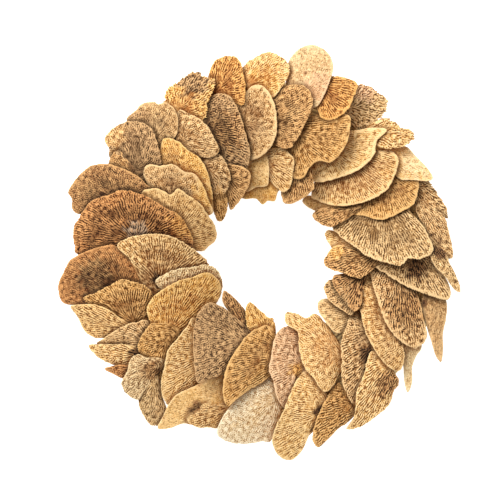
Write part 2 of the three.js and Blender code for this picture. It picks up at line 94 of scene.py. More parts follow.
# Colours of dried bracket fungus by tone: face is the flanks of the gills, deep the grooves, darkened
# there partly with painted shade, and also the painted shade in the crevices between caps, edge the
# sterile rim and the pale tips, which carry a painted highlight, and the heart colour the older flesh
# near the root, which also serves as painted shade where other caps cover it.
toneParts = ("face", "deep", "edge", "heart")
tones = {
    "paleCream": "#ead0a5 #936636 #f4e4c4 #d6b17c",
    "cream": "#dfbb84 #855730 #f0d8aa #c6965a",
    "sand": "#d2ab78 #6c4827 #ebcfa0 #a77b49",
    "straw": "#dfaf69 #7c4b22 #f1d099 #c08344",
    "golden": "#dba250 #78441b #efc886 #b27033",
    "honey": "#d29d5a #663b1a #efcc94 #97612f",
    "fawn": "#cd9a5b #633a18 #eec98e #885629",
    "amber": "#cf9249 #5a310f #ebbb74 #9d5e25",
    "caramel": "#c08948 #543312 #e5b879 #875427",
    "ochre": "#c58440 #5e3212 #e6b26c #915222",
    "tan": "#c39057 #4c3017 #eac691 #895a2f",
    "pinkTan": "#ca996b #674328 #e9c49a #9b6a42",
    "brown": "#b17c47 #40270f #e3b57a #66401c",
    "russet": "#a86c3b #371c0c #d9a065 #5e3518",
    "umber": "#93623a #2a180b #d5a56c #482b15",
    "taupe": "#ba8b57 #46301a #e2bc87 #7d5935",
    "greyBrown": "#a87e54 #3b2715 #d6ad7a #6c4b2e",
    "greySand": "#ca9e65 #583b20 #eac894 #926b3e",
    # The near-black tone is no colour of the flesh: a painted shadow for dark gaps between caps.
    "gapShadow": "#5a3b24 #1d110a #9a7149 #3d2717",
}
torn = "#c6b196"  # torn pith, where a cap was cut from its tree

# What a cap has where its row says nothing else.
usual = {"dome": 2.0, "back": 14.0, "fan": 10, "turn": 0, "heart": 0.6, "patch": None, "cut": None}


def laid(name, x, y, tone, style, rim, **rest):
    # One cap as it was laid, with the gills of its style.
    return {"node": f"cap_{name}", "root": (x, y), "tone": tone, "rim": rim,
            **usual, **gillStyles[style], **rest}


# Each cap with its node, the root where it swells, its tone, its style and its rim in order, x and y
# in turn, in mm. back is how far it reaches behind its root, fan how far behind it the gills would
# meet, dome its swell, and turn the degrees by which it was laid later. margin is its bare rim where
# it differs, the heart value how far the older flesh and the painted shade under covering caps darken
# it near the root, patch a second tone with the middle and radius of where it shows, and cut the middle
# and radius of torn pith. Rows with one node grew together. Patches in the near-black tone are painted
# shadow where dark gaps open between caps.
capRows = [
    laid("top_1", 0, 117, "brown", "maze", [8, 143, 20, 149, 34, 148, 41, 137, 39, 124, 33, 111, 27, 100,
        16, 93], fan=25, heart=0.7),
    laid("top_2", 28, 138, "sand", "smooth", [18, 163, 26, 179, 40, 185, 53, 179, 59, 166, 55, 150, 50, 138,
        43, 129], heart=0.3, patch=("pinkTan", 46, 146, 16)),
    laid("top_3", 50, 146, "ochre", "coarse", [57, 157, 68, 156, 80, 150, 77, 138, 71, 126, 60, 118, 50, 118,
        45, 125], turn=5, margin=2.4, heart=1.0),
    laid("top_4", 74, 130, "greySand", "frilly", [80, 151, 91, 151, 100, 145, 108, 137, 107, 127, 100, 119,
        92, 112, 81, 109], heart=0.0, patch=("pinkTan", 88, 146, 12)),
    laid("top_4", 98, 107, "straw", "frilly", [103, 121, 112, 119, 119, 113, 128, 110, 132, 104, 124, 96,
        114, 93, 102, 93]),
    laid("top_5", 30, 106, "caramel", "gills", [50, 123, 62, 124, 73, 121, 73, 108, 68, 93, 57, 81, 46, 82,
        38, 76, 33, 68, 24, 67, 20, 78], margin=2.4),
    laid("top_6", 50, 97, "straw", "fine", [80, 110, 93, 112, 106, 110, 97, 100, 95, 89, 87, 79, 76, 72,
        62, 67, 48, 64, 38, 66, 32, 74], margin=4.4, heart=0.0),
    laid("right_1", 68, 88, "honey", "gills", [98, 92, 109, 92, 116, 84, 113, 71, 107, 59, 97, 51, 84, 46,
        70, 43, 56, 44, 46, 48, 40, 56], margin=3.4, heart=0.8),
    laid("right_2", 100, 72, "caramel", "gills", [120, 72, 133, 67, 133, 56, 129, 45, 120, 39, 108, 33,
        99, 31, 87, 34, 75, 41], margin=3.2, heart=0.8),
    laid("right_3", 110, 86, "straw", "smooth", [114, 96, 123, 96, 132, 87, 141, 77, 146, 68, 141, 65,
        128, 66, 115, 68], heart=0.0, patch=("cream", 132, 82, 18)),
    laid("right_4", 134, 60, "tan", "frilly", [141, 68, 147, 63, 153, 52, 159, 42, 160, 32, 152, 33,
        143, 40]),
    laid("right_4", 136, 44, "tan", "maze", [150, 40, 157, 34, 160, 22, 163, 8, 163, -2, 156, -2, 149, 6,
        140, 22, 131, 38], patch=("gapShadow", 145, 12, 7)),
    laid("right_4", 148, 6, "greySand", "maze", [157, 2, 160, -6, 166, -18, 170, -31, 164, -30, 155, -18,
        146, -9, 142, 2], patch=("gapShadow", 151, 4, 8)),
    laid("right_5", 100, 46, "greySand", "coarse", [62, 36, 56, 28, 64, 17, 75, 9, 88, -1, 102, -6, 116, -9,
        124, -3, 135, -3, 146, 4, 141, 19, 132, 32], margin=2.4, heart=1.0),
    laid("right_6", 128, 8, "greySand", "coarse", [94, -5, 104, -16, 118, -25, 131, -31, 145, -36, 158, -39,
        162, -34, 159, -22, 152, -12, 146, -3], margin=3.4, heart=0.5, patch=("gapShadow", 131, -12, 10)),
    laid("right_7", 148, -28, "taupe", "smooth", [136, -40, 139, -57, 144, -74, 148, -87, 153, -93, 155, -82,
        155, -68, 158, -54, 158, -38], patch=("gapShadow", 137, -41, 6)),
    laid("right_8", 117, -20, "tan", "coarse", [92, -8, 92, -22, 96, -37, 102, -55, 110, -68, 120, -77,
        130, -81, 137, -77, 141, -70, 138, -56, 134, -38], fan=30, margin=3.2,
        patch=("umber", 122, -46, 20)),
    laid("right_9", 112, -62, "honey", "gills", [96, -16, 88, -18, 84, -28, 82, -46, 86, -66, 94, -82,
        103, -94, 111, -100, 118, -99, 121, -88, 120, -76], fan=50, heart=0.7),
    laid("right_10", 127, -72, "cream", "smooth", [118, -80, 120, -97, 121, -110, 124, -120, 128, -111,
        128, -98, 132, -88, 137, -78], heart=0.0),
    laid("inner_1", 28, 72, "brown", "gills", [14, 62, 14, 50, 17, 45, 25, 46, 33, 50, 40, 56, 42, 63],
        back=20, heart=0.9),
    laid("inner_1", -4, 70, "golden", "smooth", [-21, 56, -19, 50, -9, 50, -3, 45, 2, 48, 8, 48, 11, 56,
        18, 66], back=22, heart=0.0),
    laid("inner_2", 66, 50, "straw", "smooth", [56, 56, 44, 53, 36, 53, 32, 48, 38, 42, 48, 38, 60, 36],
        back=20, heart=0.0),
    laid("inner_2", 66, 38, "brown", "maze", [52, 43, 41, 38, 41, 33, 47, 28, 56, 25, 64, 28], back=20,
        heart=0.8),
    laid("inner_3", 84, 8, "straw", "maze", [66, 20, 56, 23, 51, 20, 54, 12, 59, 5, 66, 0], back=14),
    laid("inner_3", 88, 0, "brown", "coarse", [72, 10, 60, 9, 54, 3, 50, -6, 56, -12, 66, -15, 76, -19,
        86, -18], back=18, heart=1.0, patch=("golden", 61, 4, 8)),
    laid("inner_4", 74, -28, "taupe", "coarse", [60, -20, 53, -22, 50, -28, 53, -37, 60, -44, 68, -49,
        76, -51], back=14, heart=1.0),
    laid("inner_4", 80, -20, "umber", "coarse", [68, -15, 59, -17, 58, -25, 63, -34, 70, -43, 77, -49,
        83, -44, 85, -32], back=14, margin=1.8, heart=1.0),
    laid("inner_5", 76, -52, "greySand", "fine", [60, -40, 51, -37, 45, -41, 46, -49, 52, -58, 60, -67,
        70, -66], back=14, turn=-10),
    laid("inner_6", 4, 80, "honey", "gills", [8, 94, 17, 93, 25, 84, 24, 72, 22, 61, 16, 55, 10, 59, 5, 64]),
    laid("inner_6", -16, 76, "straw", "smooth", [-12, 88, 0, 90, 3, 80, 3, 68, 1, 61, -8, 60, -17, 56,
        -20, 62], heart=0.0),
    laid("inner_7", -34, 68, "brown", "gills", [-30, 80, -20, 78, -13, 72, -14, 63, -19, 53, -25, 45,
        -31, 40, -34, 48], back=16, heart=0.9),
    laid("inner_8", -42, 62, "caramel", "maze", [-50, 56, -47, 42, -43, 31, -38, 30, -34, 38, -33, 48,
        -35, 56], back=26),
    laid("inner_8", -48, 74, "tan", "maze", [-46, 90, -39, 88, -34, 81, -30, 69, -33, 58, -38, 52, -45, 54]),
    laid("top_7", -48, 108, "greyBrown", "coarse", [-50, 136, -43, 142, -32, 140, -25, 131, -20, 118,
        -16, 103, -13, 90, -16, 76, -23, 69, -31, 68, -36, 78], fan=45, heart=1.0,
        patch=("umber", -36, 108, 20)),
    laid("top_8", -20, 115, "tan", "pores", [-18, 142, -10, 149, -2, 148, 5, 139, 9, 127, 10, 113, 8, 101,
        1, 90, -9, 84, -16, 86], fan=30, dome=-1.5, margin=3.6, heart=1.0),
    laid("top_9", -14, 150, "straw", "maze", [-20, 166, -10, 174, 3, 179, 14, 174, 21, 166, 20, 156, 14, 146,
        7, 137, 0, 138], heart=0.8, patch=("golden", -4, 152, 18)),
    laid("top_10", -40, 146, "ochre", "coarse", [-50, 160, -44, 172, -32, 176, -23, 172, -19, 160, -17, 146,
        -19, 131, -27, 132], heart=1.0),
    laid("top_11", -74, 130, "golden", "frilly", [-90, 136, -88, 147, -77, 154, -66, 162, -58, 162, -52, 158,
        -44, 155, -44, 145, -49, 134, -50, 122, -56, 116], heart=1.0, patch=("greyBrown", -62, 154, 16)),
    laid("top_12", -72, 100, "tan", "maze", [-77, 126, -68, 125, -58, 120, -50, 113, -45, 104, -40, 92,
        -46, 86, -58, 86], fan=15),
    laid("top_13", -98, 102, "taupe", "pores", [-122, 117, -115, 127, -107, 134, -98, 135, -94, 133,
        -87, 134, -79, 128, -76, 118, -77, 106, -84, 98], heart=0.9, patch=("greyBrown", -114, 117, 14)),
    laid("top_14", -78, 68, "golden", "pores", [-93, 80, -92, 95, -88, 103, -76, 100, -67, 92, -58, 86,
        -52, 77, -48, 64, -46, 48, -50, 38], fan=30, patch=("caramel", -86, 82, 10)),
    laid("left_1", -114, 76, "greyBrown", "maze", [-136, 84, -138, 94, -142, 103, -135, 112, -122, 118,
        -108, 117, -99, 111, -94, 99, -91, 86, -92, 74], heart=1.0, patch=("honey", -134, 105, 12)),
    laid("left_1", -118, 72, "brown", "maze", [-136, 78, -138, 84, -130, 94, -124, 89, -118, 81, -113, 76],
        patch=("gapShadow", -115, 77, 6)),
    laid("left_2", -82, 50, "tan", "pores", [-102, 60, -107, 72, -103, 80, -92, 79, -80, 80, -71, 74,
        -62, 72, -55, 63, -50, 50, -48, 36], fan=20, margin=2.6, heart=0.9, patch=("golden", -50, 54, 16)),
    laid("left_3", -80, 24, "fawn", "fine", [-108, 52, -100, 59, -91, 58, -83, 54, -76, 59, -67, 53, -57, 46,
        -50, 36, -44, 26, -43, 15, -50, 8, -58, 4], fan=25, margin=3.0, heart=0.3),
    laid("left_4", -128, 44, "umber", "pores", [-160, 36, -170, 40, -171, 50, -174, 57, -166, 69, -154, 79,
        -139, 81, -126, 77, -113, 71, -104, 63, -100, 56], fan=25, margin=2.0, heart=0.8),
    laid("left_5", -113, 12, "russet", "coarse", [-162, 0, -169, 11, -169, 25, -162, 37, -152, 49, -137, 54,
        -126, 58, -110, 55, -97, 49, -86, 42, -76, 37, -68, 26, -63, 12, -68, 2], fan=0, heart=1.0,
        patch=("ochre", -72, 26, 14), cut=(-112, 21, 11)),
    laid("left_6", -128, -30, "russet", "fine", [-104, -22, -113, -9, -122, 2, -133, 10, -146, 8, -158, 4,
        -171, -3, -178, -14, -183, -27, -179, -41, -163, -43], fan=20, heart=1.0,
        patch=("umber", -148, -18, 18)),
    laid("left_7", -93, -24, "honey", "coarse", [-118, -4, -130, 9, -121, 16, -108, 19, -92, 20, -78, 16,
        -66, 9, -56, 1, -49, -8, -54, -18], fan=2, heart=0.9, patch=("gapShadow", -95, -20, 6)),
    laid("left_8", -66, -32, "cream", "coarse", [-96, -24, -90, -16, -78, -11, -64, -9, -52, -7, -43, -11,
        -38, -20, -38, -30, -44, -40], fan=40, heart=0.0),
    laid("left_9", -84, -66, "golden", "gills", [-101, -58, -104, -46, -98, -35, -89, -28, -76, -21,
        -64, -18, -53, -14, -45, -17, -39, -26, -41, -38, -50, -50, -60, -58], fan=6, margin=2.2),
    laid("left_10", -116, -58, "caramel", "coarse", [-158, -40, -150, -32, -138, -26, -126, -20, -114, -22,
        -104, -26, -98, -33, -96, -46], fan=2, heart=1.0),
    laid("left_11", -124, -63, "fawn", "gills", [-127, -54, -138, -46, -150, -42, -161, -42, -171, -44,
        -165, -54, -160, -65, -152, -71, -143, -72]),
    laid("left_12", -110, -72, "tan", "gills", [-103, -56, -112, -57, -121, -59, -132, -65, -141, -71,
        -149, -77, -138, -78, -126, -80, -116, -83]),
    laid("left_13", -116, -86, "straw", "coarse", [-120, -77, -132, -77, -145, -77, -156, -78, -150, -87,
        -141, -93, -131, -97, -121, -97], back=16, patch=("gapShadow", -113, -85, 6)),
    laid("left_13", -118, -99, "russet", "gills", [-124, -95, -134, -96, -142, -99, -134, -104, -125, -108,
        -118, -107], back=16),
    laid("bottom_1", -98, -112, "greySand", "maze", [-108, -112, -112, -122, -112, -132, -107, -143,
        -100, -150, -91, -149, -86, -139, -90, -124]),
    laid("bottom_1", -100, -98, "sand", "maze", [-104, -88, -112, -85, -119, -90, -122, -101, -127, -111,
        -123, -121, -113, -127, -106, -118], patch=("umber", -100, -101, 10)),
    laid("bottom_2", -86, -74, "caramel", "maze", [-98, -58, -106, -65, -111, -74, -112, -83, -105, -92,
        -99, -102, -93, -109, -88, -103], heart=0.5),
    laid("bottom_3", -58, -90, "straw", "gills", [-61, -54, -70, -62, -78, -72, -86, -82, -89, -96,
        -92, -110, -91, -123, -85, -131, -77, -122, -63, -114], fan=30, heart=0.3),
    # The umber patch on this cap is painted shade in a hollow.
    laid("bottom_4", -42, -124, "straw", "smooth", [-36, -104, -50, -107, -64, -114, -77, -120, -85, -129,
        -90, -140, -95, -151, -84, -151, -73, -147, -58, -146], heart=0.2, patch=("umber", -60, -134, 8)),
    laid("bottom_4", -38, -136, "honey", "maze", [-52, -128, -64, -134, -70, -143, -62, -150, -50, -151,
        -40, -151]),
    laid("bottom_5", -24, -74, "greyBrown", "maze", [-30, -50, -40, -43, -50, -40, -58, -47, -63, -60,
        -64, -76, -63, -92, -60, -110, -50, -107, -38, -102], fan=15, heart=0.2),
    laid("bottom_6", -20, -60, "umber", "gills", [-17, -50, -22, -42, -30, -34, -37, -30, -38, -40,
        -30, -52], back=20),
    laid("bottom_6", -2, -66, "golden", "maze", [8, -57, 2, -53, -6, -46, -14, -40, -18, -45, -18, -56,
        -15, -68], back=20),
    laid("bottom_7", 4, -92, "caramel", "gills", [4, -62, -8, -63, -18, -70, -26, -81, -33, -92, -37, -106,
        -38, -120, -34, -131, -26, -125, -15, -117, 0, -108], fan=25, margin=2.6, heart=0.9),
    laid("bottom_8", 4, -128, "paleCream", "pores", [4, -106, -8, -108, -19, -117, -30, -129, -39, -142,
        -43, -155, -33, -163, -18, -165, -4, -163, 6, -160]),
    laid("bottom_9", 30, -92, "pinkTan", "gills", [26, -64, 19, -61, 11, -65, 6, -75, 4, -88, 2, -100,
        6, -110, 9, -123, 16, -133, 21, -124, 27, -108], fan=35, heart=0.3, patch=("amber", 27, -99, 7)),
    laid("bottom_10", 58, -84, "straw", "maze", [50, -56, 42, -50, 35, -54, 27, -50, 17, -49, 17, -59,
        27, -66, 28, -80, 32, -96, 41, -107, 50, -119, 58, -115, 64, -104], heart=0.8),
    laid("bottom_11", 45, -138, "straw", "gills", [44, -108, 36, -99, 27, -107, 20, -121, 14, -136, 8, -149,
        5, -163, 12, -176, 22, -179, 32, -170, 38, -157], fan=45, turn=3, heart=0.2,
        patch=("gapShadow", 46, -135, 5)),
    laid("bottom_12", 72, -134, "caramel", "coarse", [68, -114, 62, -110, 54, -121, 47, -134, 42, -147,
        40, -160, 45, -168, 54, -161, 63, -152, 72, -146], fan=40, heart=0.4),
    laid("bottom_13", 90, -82, "tan", "coarse", [76, -53, 70, -60, 65, -74, 65, -90, 65, -106, 69, -119,
        76, -129, 80, -118, 84, -104], fan=45, heart=0.9, patch=("gapShadow", 88, -86, 8)),
    laid("bottom_14", 104, -103, "straw", "coarse", [94, -82, 88, -88, 84, -104, 78, -118, 77, -133,
        75, -143, 69, -151, 82, -149, 95, -141, 107, -131, 112, -119, 117, -110, 112, -99], fan=30, turn=8,
        patch=("umber", 108, -112, 14)),
]


def linear(colour):
    # sRGB hex to linear channels: a straight toe below 0.04045, a 2.4 power above it.
    channels = np.array([int(colour[i:i + 2], 16) / 255 for i in (1, 3, 5)])
    curve = np.where(channels <= 0.04045, channels / 12.92, ((channels + 0.055) / 1.055) ** 2.4)
    return (*curve, 1.0)


def wrapped(angle):
    # An angle brought between minus half a turn and half a turn.
    return angle - 2 * np.pi * np.round(angle / (2 * np.pi))


def draw(number, use):
    # A draw from 0 to 1, as the solid caps had it: the fraction of a large sine.
    value = math.sin(number * 12.9898 + use * 78.233) * 43758.5453
    return value - math.floor(value)


def smooth(value):
    # 0 below 0 and 1 above 1, with a cubic ease between.
    value = np.clip(value, 0, 1)
    return value * value * (3 - 2 * value)


def ripples(x, y, pitch, seed, way=None, reach=0.0, waves=64):
    # Sum of plane waves of about one pitch at every heading, mean 0 and spread 1. Where a way (a unit
    # vector field) is given, a wave counts only where its crests run along it: exp(-(k.way reach/4)^2).
    rng = np.random.default_rng(seed)
    heading = np.pi * (np.arange(waves) + rng.random(waves)) / waves
    size = 2 * np.pi / (pitch * rng.uniform(0.8, 1.3, waves))
    phase = rng.uniform(0, 2 * np.pi, waves)
    total, power = np.zeros_like(x), np.full_like(x, 1e-6)
    for h, k, p in zip(heading, size, phase):
        kx, ky = k * math.cos(h), k * math.sin(h)
        weight = 1.0 if way is None else np.exp(-((kx * way[0] + ky * way[1]) * reach / 4) ** 2)
        total += weight * np.cos(kx * x + ky * y + p)
        power += weight ** 2 / 2
    return total / np.sqrt(power)


# Fields of ripples over a cap, each with its pitch in mm, or 0 for that of its gills, and the seed to
# which the cap's number is added.
fields = {
    "windX": (9, 2000), "windY": (9, 3000), "gills": (0, 4000), "pores": (0, 4500), "clumps": (5, 4700),
    "bareWidth": (9, 5000), "swell": (16, 6000), "bumps": (6, 6500), "heart": (14, 7000),
    "lobes": (7, 8000), "fray": (1.6, 8500), "spots": (8, 9000),
}


def fieldOf(cap, name, x, y, *run):
    # One field of one cap, with its way, reach and waves where it has them.
    pitch, seed = fields[name]
    return ripples(x, y, pitch or cap["pitch"], seed + cap["number"], *run)


def closedSpline(points, steps=48):
    # Closed uniform Catmull-Rom curve: cubic between points, tangent half the chord of the neighbours.
    p1 = np.array(points, float)
    p0, p2, p3 = np.roll(p1, 1, 0), np.roll(p1, -1, 0), np.roll(p1, -2, 0)
    t0, t1 = (p2 - p0) / 2, (p3 - p1) / 2
    u = (np.arange(steps) / steps)[None, :, None]
    p1, p2, t0, t1 = (a[:, None, :] for a in (p1, p2, t0, t1))
    curve = p1 + t0 * u + (3 * (p2 - p1) - 2 * t0 - t1) * u ** 2 + (2 * (p1 - p2) + t0 + t1) * u ** 3
    return curve.reshape(-1, 2)


def bedHeight(radius):
    # Crest less a drop that grows with the square of the distance from the ring and levels out.
    u = (radius - bed["ringRadius"]) / bed["halfWidth"]
    return bed["crest"] - bed["drop"] * u * u / (1 + bed["flattening"] * u * u)


def capHeight(cap, x, y, v, t):
    # Bed, plus a ramp rising clockwise, plus a dome, plus a rim that curls in waves.
    radius = np.hypot(x, y)
    turn = wrapped(cap["turned"] - np.arctan2(y, x))
    ramp = shingle["slope"] * turn * (radius + bed["ringRadius"]) / 2
    dome = cap["dome"] * (1 - v * v)
    wave = np.sin(2 * np.pi * (shingle["curlWaves"] * t + draw(cap["number"], 1)))
    return bedHeight(radius) + ramp + dome + shingle["curl"] * v ** 3 * wave


def halfThickness(v):
    # Half the thickness at share v from root to rim.
    root, rim = shingle["rootThickness"], shingle["rimThickness"]
    return (root + (rim - root) * v ** 1.5) / 2


def settled(row, number):
    # A row with its outline, as points evenly fine along a closed curve, counter-clockwise, and the
    # share of the way round at each. turnShare is that share as the solid cap counted it.
    root, rim = np.array(row["root"], float), np.array(row["rim"], float).reshape(-1, 2)
    toward = (rim - root).sum(0) / np.hypot(*(rim - root).sum(0))
    points = np.vstack([rim, root - row["back"] * toward])
    outline = closedSpline(points)
    step = np.hypot(*(np.roll(outline, -1, 0) - outline).T)
    length = step.sum()
    share = np.concatenate([[0], np.cumsum(step)[:-1]]) / length
    front = np.arange(len(outline)) < len(outline) * (len(points) - 2) / len(points)
    columns = 2 * int(length / solidCap["columnPitch"] / 2 + 0.5)
    columns = min(solidCap["most"], max(solidCap["fewest"], columns))
    x, y = outline.T
    turnShare = share
    if (x * np.roll(y, -1) - np.roll(x, -1) * y).sum() < 0:  # drawn clockwise
        turnShare = (columns - 1) / columns - share[::-1]
        outline, share, front = outline[::-1], 1 - share[::-1], front[::-1]
        share = share - share[0]
    turned = math.atan2(root[1], root[0]) + math.radians(row["turn"])
    return dict(row, number=number, root=root, meeting=root - row["fan"] * toward, outline=outline,
                length=length, share=share, turnShare=turnShare, front=front, columns=columns, turned=turned)


def along(cap, share, *values):
    # Values round the outline at shares of the way round, straight between its points.
    ends = np.append(cap["share"], 1.0)
    return [np.interp(share, ends, np.append(value, value[0])) for value in values]


def solidTop(cap, raised):
    # Highest point of the solid cap as it was made, before it was laid.
    share = np.arange(cap["columns"]) / cap["columns"]
    ridge = np.where(np.arange(cap["columns"]) % 2 == 1, 1, -1) * shingle["gillHeight"]
    x, y, t = along(cap, share, *cap["outline"].T, cap["turnShare"])
    rx, ry = cap["root"]
    tops = [capHeight(cap, rx, ry, 0.0, 0.0) + halfThickness(0.0)]
    for v, gill in solidCap["rings"] + ((1.0, 0.0),):
        half = halfThickness(v) if v < 1 else 0.0
        height = capHeight(cap, rx + v * (x - rx), ry + v * (y - ry), v, t)
        tops.append((height + half + ridge * gill).max())
    return max(tops) + raised


# How gills run on every cap. rimWidth is the mm in from the rim over which they turn to pores, and
# clumps how much higher or lower they stand in places.
gillRun = {"waves": 120, "leastAway": 0.5, "rimWidth": 7.0, "rimPores": 0.6, "contrast": 1.25, "clumps": 0.55}


def gillField(cap, x, y, toRim):
    # Gills fan out from where they would meet, in short runs that wind a little, higher in some clumps
    # than others, and turn to pores towards the rim: -1 in the grooves and 1 along the tips.
    wx = x + cap["wind"] * fieldOf(cap, "windX", x, y)
    wy = y + cap["wind"] * fieldOf(cap, "windY", x, y)
    dx, dy = wx - cap["meeting"][0], wy - cap["meeting"][1]
    away = np.maximum(np.hypot(dx, dy), gillRun["leastAway"])
    gills = fieldOf(cap, "gills", wx, wy, (dx / away, dy / away), cap["reach"], gillRun["waves"])
    pores, clumps = fieldOf(cap, "pores", x, y), fieldOf(cap, "clumps", x, y)
    share = cap["broken"] + gillRun["rimPores"] * (1 - smooth(toRim / gillRun["rimWidth"]))
    mixed = gillRun["contrast"] * (gills + share * pores) / np.sqrt(1 + share ** 2)
    return np.tanh(mixed + gillRun["clumps"] * clumps)


# How fine the shown faces are, in mm. Columns are doubled past the share called split, and the least
# shares keep the rings near the rim outside it where a cap is narrow.
detail = {
    "columnPitch": 0.66, "ringPitch": 0.88, "innerPitch": 1.5, "split": 0.48, "backWeight": 0.25,
    "rimInsets": (1.7, 0.9, 0.4, 0.12), "underInsets": (0.9, 4.0), "underShares": (0.5, 0.25),
    "leastShare": 0.6, "leastInset": 0.61, "deepPercent": 80, "fewestInner": 3, "fewestOuter": 4,
}
# How a cap's face is shaped and marked on top of its style, in mm or as shares. bare is the sterile
# margin, crevice the shadow beside a rim that lies on this cap, overlap how many radians ahead a cap
# can lie on it, and rimStep every how many points a rim is measured to.
form = {
    "leastReach": 0.5, "lobes": 0.6, "fray": 0.45, "rimRound": 0.9, "rimStep": 3,
    "bareSway": 0.3, "bareFrom": 0.3, "bareOver": 0.8, "bareEdge": 0.6, "bareFlat": 0.85,
    "gillsFrom": 0.02, "gillsOver": 0.1, "gillSink": 0.7,
    "swell": 0.5, "bumps": 0.4, "uneven": 0.6, "unevenLimits": (-1.2, 0.9), "unevenEdge": 6.0,
    "heartFrom": 3.0, "heartOver": 14.0, "heartSway": 0.25,
    "creviceWidth": 4.0, "creviceBox": 6.0, "overlap": 1.2,
    "spotSway": 0.18, "spotFrom": 0.55, "spotOver": 0.65,
}


def nearest(place, line):
    # Distance from each place to the nearest point of a line.
    return np.sqrt(((place[:, None, :] - line[None]) ** 2).sum(2).min(1))


def creviceShadeShare(cap, place):
    # Share of painted shade: 1 right beside the rim of a cap laid over this one, 0 from the crevice's
    # width on. A cap further round, counter-clockwise, lies on top, and of those grown together the later
    # one.
    rims = [np.zeros((0, 2))]
    low, high = place.min(0) - form["creviceBox"], place.max(0) + form["creviceBox"]
    for other in caps:
        ahead = wrapped(other["turned"] - cap["turned"])
        grown = other["node"] == cap["node"]
        if other["number"] > cap["number"] if grown else 0 < ahead < form["overlap"]:
            line = other["outline"][other["front"]][::form["rimStep"]]
            rims.append(line[((line > low) & (line < high)).all(1)])
    rims = np.vstack(rims)
    return 1 - smooth(nearest(place, rims) / form["creviceWidth"]) if len(rims) else np.zeros(len(place))


def spotShare(cap, spot, x, y):
    # 1 in the middle of a spot and 0 well outside it, with a ragged edge.
    if spot is None:
        return np.zeros_like(x)
    px, py, radius = spot[-3:]
    away = np.hypot(x - px, y - py) + form["spotSway"] * radius * fieldOf(cap, "spots", x, y)
    return 1 - smooth((away / radius - form["spotFrom"]) / form["spotOver"])


def stitched(counts):
    # Faces between rings of points: quads where two rings have as many, triangles where one has twice
    # as many, and a fan at each end to a pole, which come last.
    starts = np.concatenate([[0], np.cumsum(counts)])
    rings = [start + np.arange(count) for start, count in zip(starts, counts)]
    quads, triangles = [], []
    for a, b in zip(rings, rings[1:]):
        a1, b1 = np.roll(a, -1), np.roll(b, -1)
        if len(a) == len(b):
            quads.append((a, b, b1, a1))
        elif len(a) < len(b):
            even, odd, after = b[::2], b[1::2], b1[1::2]
            triangles += (a, even, odd), (a, odd, a1), (a1, odd, after)
        else:
            even, odd, after = a[::2], a[1::2], a1[1::2]
            triangles += (even, b, odd), (odd, b, b1), (odd, b1, after)
    first, last = rings[0], rings[-1]
    triangles.append((np.full(len(first), starts[-1]), first, np.roll(first, -1)))
    triangles.append((np.full(len(last), starts[-1] + 1), np.roll(last, -1), last))
    return [np.vstack([np.column_stack(corners) for corners in faces]) for faces in (quads, triangles)]


